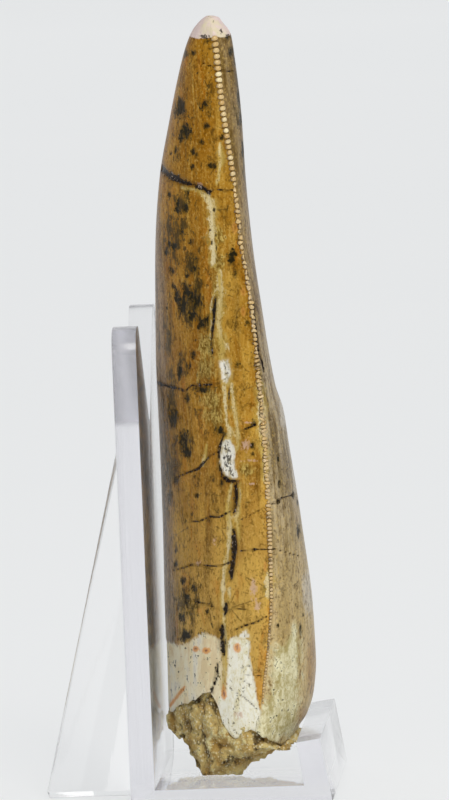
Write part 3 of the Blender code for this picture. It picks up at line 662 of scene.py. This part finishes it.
ragged = speckle * 1.3 + fine * 0.4
hidden = 1.0 - enamel.field("seen")
patches = (enamel.cloud(7.0, 2.0, (1.0, 1.0, 0.6)) * 6.0 - 1.2) * hidden
spotted = enamel.field("dark_spot").larger(patches - enamel.field("seen") * 4.0)
clouded = enamel.field("faint_spot").larger(patches + 0.5 - enamel.field("seen") * 4.0)
halo = (spotted + lumps * 2.4).rise(-0.6, 0.6)
dark = (spotted * 0.9 + specks * 3.2 + lumps * 1.8 + fine * 1.2).rise(0.02, 0.42)
faint = (clouded * 0.55 + specks * 3.0 + lumps * 2.4 + left_zone * 0.06).rise(0.24, 0.44)
stray = (specks * 2.8 + lumps * 2.4 + long_streaks + left_zone * 0.12).rise(0.52, 0.7)
color = enamel.mix((clouded + lumps * 2.0).rise(-0.2, 0.9) * 0.4, color, tone(84, 72, 16))
color = enamel.mix(halo * 0.6, color, tone(66, 54, 14))
color = enamel.mix(faint.larger(stray) * 0.75, color, tone(48, 40, 16))
color = enamel.mix(dark * 0.9, color, tone(32, 29, 14))
craze = enamel.cells(6.5, (0.8, 0.8, 1.6), "DISTANCE_TO_EDGE") + specks * 0.08
craze_mask = (0.012 - craze).rise(-0.012, 0.004) * (lumps + mottle).rise(0.02, 0.12)
color = enamel.mix(craze_mask * 0.5, color, tone(62, 46, 20))

dentine_mask = (enamel.field("dentine") + ragged * 9.0 + specks * 5.0).rise(-0.8, 3.0)
tongue_mask = (enamel.field("tongue") + ragged * 5.0 + specks * 4.0).rise(-0.6, 2.4)
green_mask = (enamel.field("green") + ragged * 16.0 + long_streaks * 14.0 + specks * 8.0).rise(-2.0, 7.0)
cream = enamel.mix((mottle * 1.8 + 0.5).rise(0.2, 0.9), tone(244, 230, 190), tone(255, 252, 234))
cream = enamel.mix((long_streaks * 1.8 + 0.5).rise(0.62, 0.95) * 0.3, cream, tone(226, 196, 140))
bone = enamel.mix((mottle + speckle + specks).rise(-0.2, 0.4), tone(250, 248, 232), tone(226, 216, 170))
lichen = enamel.mix((specks + lumps * 1.4 + long_streaks + 0.5).rise(0.2, 0.8), tone(172, 158, 104), tone(232, 226, 188))
color = enamel.mix(green_mask, color, lichen)
color = enamel.mix(dentine_mask, color, cream)
color = enamel.mix(tongue_mask, color, bone)
pale_root = dentine_mask.larger(tongue_mask).larger(green_mask)
cream_patches = (mottle * 2.0 + lumps * 1.6).rise(0.0, 0.3)
color = enamel.mix(cream_patches * dentine_mask * 0.5, color, tone(222, 216, 206))
color = enamel.mix((0.0 - mottle * 2.0 - lumps * 1.6).rise(0.1, 0.4) * dentine_mask * 0.3, color, tone(206, 164, 100))
dots = (specks * 2.6 + lumps * 1.8 + fine).rise(0.38, 0.54)
color = enamel.mix(dots * pale_root * 0.8, color, tone(52, 44, 28))
color = enamel.mix((specks * 2.4 + long_streaks * 2.0).rise(0.3, 0.6) * green_mask * 0.5, color, tone(96, 86, 50))

near_cream = (enamel.field("cream_crack") * 0.5 + lumps * 2.0 + specks).rise(-0.8, 0.1)
color = enamel.mix(near_cream * 0.45, color, tone(200, 170, 84))
cream_line = (enamel.field("cream_crack") * 0.7 + ragged * 2.2 + specks * 2.2).rise(-0.2, 0.34)
cream_tone = enamel.mix((long_streaks * 2.0 + mottle + 0.5).rise(0.3, 0.8), tone(206, 176, 92), tone(234, 218, 170))
cream_tone = enamel.mix((specks * 2.4 + fine).rise(0.16, 0.42) * 0.7, cream_tone, tone(120, 84, 34))
color = enamel.mix(cream_line * 0.9, color, cream_tone)
patch_side = (enamel.field("white_patch") * 0.35 + lumps * 2.4 + specks).rise(-1.4, 0.3)
color = enamel.mix(patch_side * 0.6, color, tone(216, 190, 116))
white = (enamel.field("white_patch") * 0.7 + ragged * 2.6 + specks * 3.0).rise(-0.7, 1.3)
white_tone = enamel.mix((speckle * 2.0 + 0.5).rise(0.1, 0.6), tone(196, 182, 142), tone(246, 242, 228))
color = enamel.mix(white, color, enamel.mix((specks * 2.6 + fine * 1.6 + enamel.field("white_patch") * 0.09 - 0.3).rise(0.16, 0.4) * 0.85, white_tone, tone(44, 38, 30)))
rosy = (enamel.field("pink") + ragged * 1.6 + specks * 2.2).rise(0.1, 0.7)
color = enamel.mix(rosy * 0.6, color, tone(214, 182, 166))
orange_mask = (enamel.field("orange") + lumps * 0.8 + specks * 0.8).rise(0.0, 0.5)
orange_core = (enamel.field("orange") + lumps * 1.2 + specks).rise(0.55, 0.9)
color = enamel.mix(orange_mask * (0.35 + pale_root * 0.5), color, enamel.mix(orange_core, tone(230, 160, 84), tone(140, 54, 26)))
black = (enamel.field("dark_crack") + ragged * 1.8 + specks * 2.4 + lumps * 1.4).rise(-0.02, 0.36)
crack_side = (enamel.field("dark_crack") * 0.5 + ragged + specks).rise(-0.8, 0.0)
color = enamel.mix(crack_side * 0.4, color, tone(80, 56, 18))
filling = enamel.mix((fine * 3.0 + speckle * 1.4).rise(0.26, 0.6), tone(14, 13, 18), tone(156, 142, 132))
color = enamel.mix(black * 0.95, color, filling)
flecks = (enamel.field("fleck") + ragged * 0.5).rise(0.05, 0.4)
color = enamel.mix(flecks * 0.9, color, tone(30, 26, 22))

worn = (enamel.field("tip_wear") + ragged * 3.0).rise(-0.3, 0.9)
tip_tone = enamel.mix((mottle * 1.5 + speckle * 0.6 + 0.5).rise(0.4, 0.7), tone(228, 208, 202), tone(226, 214, 182))
tip_dots = (speckle * 1.6 + 0.5).rise(0.78, 0.86)
color = enamel.mix(worn, color, enamel.mix(tip_dots * 0.85, tip_tone, tone(70, 56, 44)))
color = enamel.mix(worn * dark * 0.9, color, tone(44, 34, 34))
raw = enamel.field("broken")
color = enamel.mix(raw, color, enamel.mix((speckle * 2.0 + 0.5).rise(0.3, 0.7), tone(118, 92, 56), tone(206, 192, 158)))
enamel.feed("Base Color", color)

dull = pale_root.larger(white).larger(worn).larger(raw).larger(cream_line * 0.7)
enamel.feed("Roughness", 0.28 + dull * 0.34 + dark * 0.10 + (streaks + speckle) * 0.12)
grain_height = streaks * 0.35 + speckle * 0.35 * (0.3 + dull) + fine * (0.15 + dull * 0.35) - black * 0.7 - dark * 0.15
enamel.relief(grain_height + 0.5 + cream_line * fine * 0.8, 0.16)

tooth_body = mesh_piece("tooth_body", shell_points, ring_faces(len(shell), len(rim), last=len(shell_points) - 1),
                        shell_fields, enamel)
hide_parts("tooth")

# The serrations. Small blunt chisels of the same enamel along both cutting edges, as grown, with
# their crowns worn to cream. They get finer towards the root, and some are chipped.
DENTICLE_PITCH = [(13, 0.37), (23, 0.42), (31, 0.48), (43, 0.46), (54, 0.50), (64, 0.62), (82, 0.68), (95, 0.75)]
EDGE_ROWS = {"near": (13.2, 95.9), "far": (40.0, 92.0)}
DENTICLE_SIDES = 12
DENTICLE_LEVELS = [(-0.55, 1.0), (0.0, 1.0), (0.45, 0.93), (0.78, 0.74), (0.95, 0.42)]
DENTICLE_OUT = 0.58
DENTICLE_WIDE = [(13, 0.46), (24, 0.52), (32, 0.70), (39, 0.90), (46, 1.15), (52, 0.9), (60, 0.62), (70, 0.54),
                 (80, 0.56), (95, 0.62)]
CHIPPED = (38.0, 78.0)


def edge_point(z, far):
    x, y = (FAR_CARINA_X, FAR_CARINA_Y) if far else (NEAR_CARINA_X, NEAR_CARINA_Y)
    return np.array((float(along(x, z)), float(along(y, z)), z))


def denticle(z, pitch, far, chance):
    """Points of one serration and how high each lies on it, from its sunk foot to its crown."""
    here = edge_point(z, far)
    run = edge_point(z + 0.5, far) - edge_point(z - 0.5, far)
    run /= np.linalg.norm(run)
    out = (edge_point(z, True) - edge_point(z, False)) * (1.0 if far else -1.0)
    out -= run * (out @ run)
    out /= np.linalg.norm(out)
    across = np.cross(run, out)
    chipped = CHIPPED[0] < z < CHIPPED[1]
    tall = pitch * DENTICLE_OUT * (1.0 - chance.random() * (0.75 if chipped else 0.15))
    wide = pitch * float(along(DENTICLE_WIDE, z)) * (1.0 - chance.random() * (0.5 if chipped else 0.15))
    lean = (chance.random() - 0.5) * (0.9 if chipped else 0.15)
    points, lifts = [], []
    for lift, spread in DENTICLE_LEVELS:
        for k in range(DENTICLE_SIDES):
            turn = 2.0 * math.pi * k / DENTICLE_SIDES
            square = (abs(math.cos(turn)) ** 2.4 + abs(math.sin(turn)) ** 2.4) ** (-1.0 / 2.4)
            length = math.cos(turn) * square * pitch * 0.45 * (spread ** 0.6)
            width = math.sin(turn) * square * wide * spread
            points.append(here + out * tall * lift + run * (length + lean * width) + across * width)
            lifts.append(max(lift, 0.0))
    points.append(here + out * tall * 1.02)
    lifts.append(1.0)
    crumbled = pitch * (0.34 if chipped else 0.05)
    shifts = [np.array(noise.noise_vector(Vector(point) / (pitch * 0.7))) * crumbled for point in points]
    return [point + shift for point, shift in zip(points, shifts)], lifts


dentine_tip = Paint("serration_enamel", Specular_IOR_Level=0.5, IOR=1.6)
lift = dentine_tip.field("lift")
tint = dentine_tip.field("tint")
blotch = dentine_tip.cloud(0.5, 3.0)
upper_row = (dentine_tip.node("ShaderNodeSeparateXYZ", {}, {"Vector": dentine_tip.place}, "Z") * (1.0 / MM)).rise(72.0, 84.0)
crown = dentine_tip.mix(tint, tone(196, 158, 90), tone(236, 218, 168))
crown = dentine_tip.mix((1.0 - upper_row) * (tint * 1.4).rise(0.4, 1.2) * 0.5, crown, tone(160, 114, 60))
foot = dentine_tip.mix((blotch + 0.5), tone(78, 50, 18), tone(140, 100, 40))
foot = dentine_tip.mix(upper_row * 0.7, foot, tone(160, 120, 54))
dentine_color = dentine_tip.mix((lift + blotch * 0.5).rise(0.15, 0.75), foot, crown)
grime = (dentine_tip.cloud(1.6, 3.0) + blotch * 0.8 - upper_row * 0.12).rise(0.0, 0.22)
dentine_color = dentine_tip.mix(grime * 0.7, dentine_color, tone(66, 46, 22))
dentine_tip.feed("Base Color", dentine_color)
dentine_tip.feed("Roughness", 0.34 + blotch * 0.2)
dentine_tip.relief(blotch + 0.5, 0.05)

for row, (bottom, top) in EDGE_ROWS.items():
    chance = random.Random(7 if row == "near" else 8)
    row_points, row_faces, row_lift, row_tint = [], [], [], []
    z = bottom
    while z < top:
        pitch = float(along(DENTICLE_PITCH, z))
        points, lifts = denticle(z, pitch, row == "far", chance)
        start = len(row_points)
        rings = ring_faces(len(DENTICLE_LEVELS), DENTICLE_SIDES, last=len(points) - 1)
        row_faces += [[start + corner for corner in reversed(face)] for face in rings]
        row_faces.append([start + k for k in range(DENTICLE_SIDES)])
        row_points += points
        row_lift += lifts
        row_tint += [chance.random()] * len(points)
        slope = edge_point(z + 0.5, row == "far") - edge_point(z - 0.5, row == "far")
        z += pitch * slope[2] / np.linalg.norm(slope)
    serrations = mesh_piece("serrations_" + row, np.array(row_points), row_faces,
                            {"lift": np.array(row_lift), "tint": np.array(row_tint)}, dentine_tip)
    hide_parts("tooth")

# The matrix. Coarse olive sandstone that set hard in the hollow root and broke off with it. Its
# lowest lump carries the tooth on the ledge.
BOTTOM_LINE = [(-9.2, 8.0), (-7.3, 7.1), (-5.9, 5.4), (-5.3, 3.9), (-3.6, 3.35), (0.2, 3.35), (1.3, 4.1),
               (2.9, 5.6), (5.6, 6.2), (7.7, 7.2), (9.5, 8.6)]
LOW_POINT_Y = -9.0
LUMP_REACH = 10.0
OUTER_BOTTOM = 7.4
LUMP = (2.6, 0.55)
LOWEST_Z = 3.3
MATRIX_COLUMNS = 130
MATRIX_TOP = 15.5


def bottom_height(points):
    """Height of the ragged underside, lowest at the lump that stands on the ledge."""
    line = along(BOTTOM_LINE, points[..., 0])
    away = smooth_step(np.abs(points[..., 1] - LOW_POINT_Y) / LUMP_REACH)
    flat = points * (1.0, 1.0, 0.0) + (0.0, 0.0, 9.0)
    return line + np.clip(OUTER_BOTTOM - line, 0.0, None) * away + LUMP[1] * roughness(flat, LUMP[0])


def gritty(points):
    """Lumps and grains of the broken stone, in millimetres along its face."""
    flat = points.reshape(-1, 3)
    grains = np.array([noise.voronoi(Vector(p) / 1.5)[0][0] for p in flat.tolist()]).reshape(points.shape[:-1])
    fines = np.array([noise.voronoi(Vector(p) / 0.7)[0][0] for p in flat.tolist()]).reshape(points.shape[:-1])
    return 0.8 * roughness(points, 2.4, 3) - 0.6 * (grains - 0.4) - 0.34 * (fines - 0.4)


stone_share, stone_side = columns(MATRIX_COLUMNS)
low_ring = wall(stone_share, stone_side, np.full(len(stone_share), 9.0))
stone_rim = break_height(low_ring)
heart = np.array((-1.5, LOW_POINT_Y + 4.0, 0.0))
cap_rows = []
for share in np.linspace(0.02, 0.985, 64):
    ring = heart + (low_ring * (1.0, 1.0, 0.0) - heart) * share
    ring[:, 2] = bottom_height(ring)
    cap_rows.append(ring)
side_rows = []
foot_height = np.minimum(bottom_height(low_ring) + 0.35, stone_rim - 0.8)
for share in np.linspace(0.0, 1.0, 34):
    z = foot_height + (stone_rim + 0.6 - foot_height) * share
    ring = wall(stone_share, stone_side, np.maximum(z, 9.0))
    blend_in = smooth_step((z - 9.0) / 7.0)[:, None]
    ring = low_ring * (1.0 - blend_in) + ring * blend_in
    ring[:, 2] = z
    inward = heart - ring * (1.0, 1.0, 0.0)
    inward /= np.linalg.norm(inward, axis=1, keepdims=True)
    ring += inward * (0.15 + 0.6 * smooth_step((z - stone_rim + 1.2) / 1.4))[:, None]
    side_rows.append(ring)
top_rows = []
for share in (0.85, 0.6, 0.3):
    ring = heart + (side_rows[-1] - heart) * (share, share, 1.0)
    ring[:, 2] = side_rows[-1][:, 2] + 0.4
    top_rows.append(ring)
stone = np.array(cap_rows + side_rows + top_rows)
stone_out = grid_normals(stone)
stone_relief = gritty(stone)
keep_in = np.ones(stone.shape[:2])
keep_in[-5:] = 0.2
stone = stone + stone_out * (stone_relief * keep_in)[..., None]
stone[..., 2] = np.maximum(stone[..., 2], LOWEST_Z)
stone[..., 0] = np.clip(stone[..., 0], -9.19, 10.3)
stone[..., 1] = np.clip(stone[..., 1], -17.6, 18.6)
stone_points = np.concatenate((stone.reshape(-1, 3), [[*heart[:2], LOWEST_Z + 0.1]], [[*heart[:2], 12.0]]))
stone_faces = ring_faces(len(stone), len(stone_rim), len(stone_points) - 2, len(stone_points) - 1)
grit = np.concatenate((stone_relief.ravel(), [0.0, 0.0]))

sandstone = Paint("olive_matrix", Specular_IOR_Level=0.35)
grit_height = sandstone.field("grit")
patches = sandstone.cloud(3.2, 4.0, twist=0.5)
grains = sandstone.cells(0.46)
crumbs = sandstone.cloud(0.42, 4.0)
ground = sandstone.mix((patches * 2.0 + 0.5).rise(0.2, 0.8), tone(186, 148, 74), tone(230, 206, 134))
# Painted light and shade by the relief's height: pale crumbs are lifted onto the raised lumps, and the low spots
# between them are darkened as painted shade in the hollows.
ground = sandstone.mix((crumbs * 2.4 + grit_height + 0.1).rise(0.1, 0.8), ground, tone(226, 214, 156))
ground = sandstone.mix((0.0 - grit_height + crumbs).rise(0.18, 0.6) * 0.8, ground, tone(70, 50, 24))
pale_grain = (0.36 - grains + patches * 0.6 + crumbs * 0.5).rise(0.03, 0.12)
ground = sandstone.mix((patches - crumbs * 0.6).rise(0.08, 0.28) * 0.3, ground, tone(190, 168, 84))
ground = sandstone.mix(pale_grain * 0.7, ground, tone(244, 234, 196))
rust = sandstone.cloud(2.2, 2.0).rise(0.16, 0.28)
ground = sandstone.mix(rust * 0.55, ground, tone(146, 82, 44))
# Dark soot stains, drawn partly into the low spots of the relief as painted shade in the hollows.
soot_and_hollow_shade = (sandstone.cloud(1.1, 3.0) + crumbs * 0.8 - grit_height * 0.2).rise(0.16, 0.3)
ground = sandstone.mix(soot_and_hollow_shade * 0.7, ground, tone(50, 40, 24))
sandstone.feed("Base Color", ground)
sandstone.feed("Roughness", 0.62 + crumbs * 0.4)
sandstone.relief(crumbs * 1.6 + 0.5 - grains * 0.6, 0.32)
matrix_piece = mesh_piece("root_matrix", stone_points, stone_faces, {"grit": grit}, sandstone)
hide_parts("tooth")

# The easel sheet. Clear 3 mm acrylic, cut with a fork at its top, its edges flame polished, and
# bent hot into a back panel, a ledge and a low lip that leans in over the ledge.
SHEET = 3.0
EASEL_WIDTH = 40.0
LEDGE_DEPTH = 25.0
PANEL_HEIGHT = 60.4
BEND_RADIUS = 1.0
PRONG_WIDTH = 7.5
PRONG_RADIUS = 3.2
NOTCH_HEIGHT = 46.3
NOTCH_RADIUS = 1.2
LIP_HEIGHT = 8.8
LIP_LEAN = math.radians(8.0)
EDGE_BEVEL = 0.6


def arc(middle, radius, start, end, steps=10):
    """Points on a round corner, from one angle to another in degrees."""
    turns = [math.radians(start + (end - start) * i / steps) for i in range(steps + 1)]
    return [(middle[0] + radius * math.cos(t), middle[1] + radius * math.sin(t)) for t in turns]


def plate(name, outline, thickness, turn_z=0.0):
    """A flat outline with a thickness, stood on edge, as a welded mesh piece."""
    curve = bpy.data.curves.new(name, "CURVE")
    curve.dimensions = "2D"
    curve.fill_mode = "BOTH"
    curve.extrude = thickness * MM / 2.0
    spline = curve.splines.new("POLY")
    spline.points.add(len(outline) - 1)
    for point, (across, up) in zip(spline.points, outline):
        point.co = (across * MM, up * MM, 0.0, 1.0)
    spline.use_cyclic_u = True
    flat = bpy.data.objects.new(name, curve)
    bpy.context.scene.collection.objects.link(flat)
    bpy.context.view_layer.update()
    data = bpy.data.meshes.new_from_object(flat.evaluated_get(bpy.context.evaluated_depsgraph_get()))
    bpy.data.objects.remove(flat)
    mesh = bmesh.new()
    mesh.from_mesh(data)
    bmesh.ops.remove_doubles(mesh, verts=mesh.verts, dist=0.000001)
    bmesh.ops.recalc_face_normals(mesh, faces=mesh.faces)
    stand = Matrix.Rotation(turn_z, 4, "Z") @ Matrix.Rotation(math.radians(90.0), 4, "X")
    bmesh.ops.transform(mesh, matrix=stand, verts=mesh.verts)
    mesh.to_mesh(data)
    mesh.free()
    made = bpy.data.objects.new(name, data)
    bpy.context.scene.collection.objects.link(made)
    return made


def sheet_profile():
    """The bent sheet seen from its end: panel, ledge and leaning lip, outside bends rounded."""
    half = LEDGE_DEPTH / 2.0
    lean = Vector((-math.sin(LIP_LEAN), math.cos(LIP_LEAN)))
    inward = Vector((-math.cos(LIP_LEAN), -math.sin(LIP_LEAN)))
    top_out = Vector((half, 0.0)) + lean * (LIP_HEIGHT / math.cos(LIP_LEAN))
    top_in = top_out + inward * SHEET
    inner_foot = top_in - lean * ((top_in.y - SHEET) / math.cos(LIP_LEAN))
    return ([(-half, PANEL_HEIGHT), *arc((-half + BEND_RADIUS, BEND_RADIUS), BEND_RADIUS, 180, 270)]
            + [*arc((half - BEND_RADIUS, BEND_RADIUS), BEND_RADIUS, 270, 360), tuple(top_out), tuple(top_in)]
            + [tuple(inner_foot), (-half + SHEET, SHEET), (-half + SHEET, PANEL_HEIGHT)])


def notch_outline():
    """Everything above the panel's forked top edge, seen from the front."""
    half, top, r = EASEL_WIDTH / 2.0, PANEL_HEIGHT, PRONG_RADIUS
    inner = half - PRONG_WIDTH
    slope = math.degrees(math.atan2(top - NOTCH_HEIGHT, inner))
    low = Vector((math.cos(math.radians(slope)), math.sin(math.radians(slope)))) * NOTCH_RADIUS
    right = [*arc((half - r, top - r), r, 0, 90), *arc((inner + r * 0.8, top - r * 0.8), r * 0.8, 90, slope + 90.0)]
    right.append((low.x, NOTCH_HEIGHT + low.y))
    left = [(-across, up) for across, up in reversed(right)]
    rise = 10.0
    return [(half + rise, top - r), *right, *left, (-half - rise, top - r), (-half - rise, top + rise),
            (half + rise, top + rise)]


def acrylic(name):
    """Clear polished acrylic: plain transmission, its IOR, and the faint violet that a long path takes on."""
    made = Paint(name, IOR=1.49, Transmission_Weight=1.0, Base_Color=(1.0, 1.0, 1.0, 1.0))
    wiped = made.cloud(9.0, 3.0, (1.0, 1.0, 0.4))
    scuffs = made.cloud(0.7, 2.0, (1.0, 1.0, 0.05))
    made.feed("Roughness", 0.035 + (wiped + scuffs * 0.5).rise(0.0, 0.4) * 0.05 + made.field("cut") * 0.17)
    made.relief(scuffs * 0.5 + wiped * 0.4 + 0.5, 0.012)
    tint = made.node("ShaderNodeVolumeAbsorption", {}, {"Color": (0.60, 0.56, 0.78, 1.0), "Density": 4.4}, "Volume")
    made.tree.links.new(tint.socket, made.output.inputs["Volume"])
    return made


def finish_acrylic(piece, node, paint, edge):
    """Polishes a piece's edges round and hands it over in place of its solid."""
    polish = piece.modifiers.new("Polished edges", "BEVEL")
    polish.width = edge * MM
    polish.segments = 3
    polish.limit_method = "ANGLE"
    polish.angle_limit = math.radians(40.0)
    bpy.context.view_layer.update()
    shaped = bpy.data.meshes.new_from_object(piece.evaluated_get(bpy.context.evaluated_depsgraph_get()))
    piece.modifiers.clear()
    piece.data = shaped
    for vertex in shaped.vertices:
        vertex.co.y = min(max(vertex.co.y, -EASEL_WIDTH / 2.0 * MM), EASEL_WIDTH / 2.0 * MM)
    sawn = np.zeros(len(shaped.vertices))
    for polygon in shaped.polygons:
        top_edge = polygon.normal.z > 0.15 and polygon.center.z > 7.0 * MM
        rubbed = polygon.normal.x > 0.9 and polygon.center.x < -8.0 * MM
        end_face = node == "easel_sheet" and abs(polygon.normal.y) > 0.95
        if end_face or top_edge or rubbed:
            sawn[list(polygon.vertices)] = 1.0
    shaped.attributes.new("cut", "FLOAT", "POINT").data.foreach_set("value", sawn.astype(np.float32))
    shaped.shade_smooth()
    shaped.set_sharp_from_angle(angle=math.radians(28.0))
    shaped.materials.clear()
    shaped.materials.append(paint.material)
    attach(piece, "root")
    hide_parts(node)


sheet = plate("acrylic_sheet", sheet_profile(), EASEL_WIDTH)
fork = plate("fork_cutter", notch_outline(), 4.0 * SHEET, math.radians(90.0))
fork.data.transform(Matrix.Translation(((-LEDGE_DEPTH / 2.0 + SHEET / 2.0) * MM, 0.0, 0.0)))
cut = sheet.modifiers.new("Fork", "BOOLEAN")
cut.operation = "DIFFERENCE"
cut.solver = "EXACT"
cut.object = fork
bpy.context.view_layer.update()
sheet.data = bpy.data.meshes.new_from_object(sheet.evaluated_get(bpy.context.evaluated_depsgraph_get()))
sheet.modifiers.clear()
bpy.data.objects.remove(fork)
finish_acrylic(sheet, "easel_sheet", acrylic("clear_acrylic_sheet"), EDGE_BEVEL)

# The easel fin. A triangle of the same acrylic, glued upright to the back of the panel so that
# the easel can't tip backwards.
FIN_REACH = 11.5
FIN_HEIGHT = 46.8
FIN_GAP = 0.3
fin_back = -LEDGE_DEPTH / 2.0 - FIN_GAP
fin = plate("acrylic_fin", [(fin_back, 0.0), (fin_back, FIN_HEIGHT), (fin_back - 0.8, FIN_HEIGHT - 2.4),
                            (fin_back - FIN_REACH, 0.9), (fin_back - FIN_REACH, 0.0)], SHEET)
finish_acrylic(fin, "easel_fin", acrylic("clear_acrylic_fin"), 0.6)
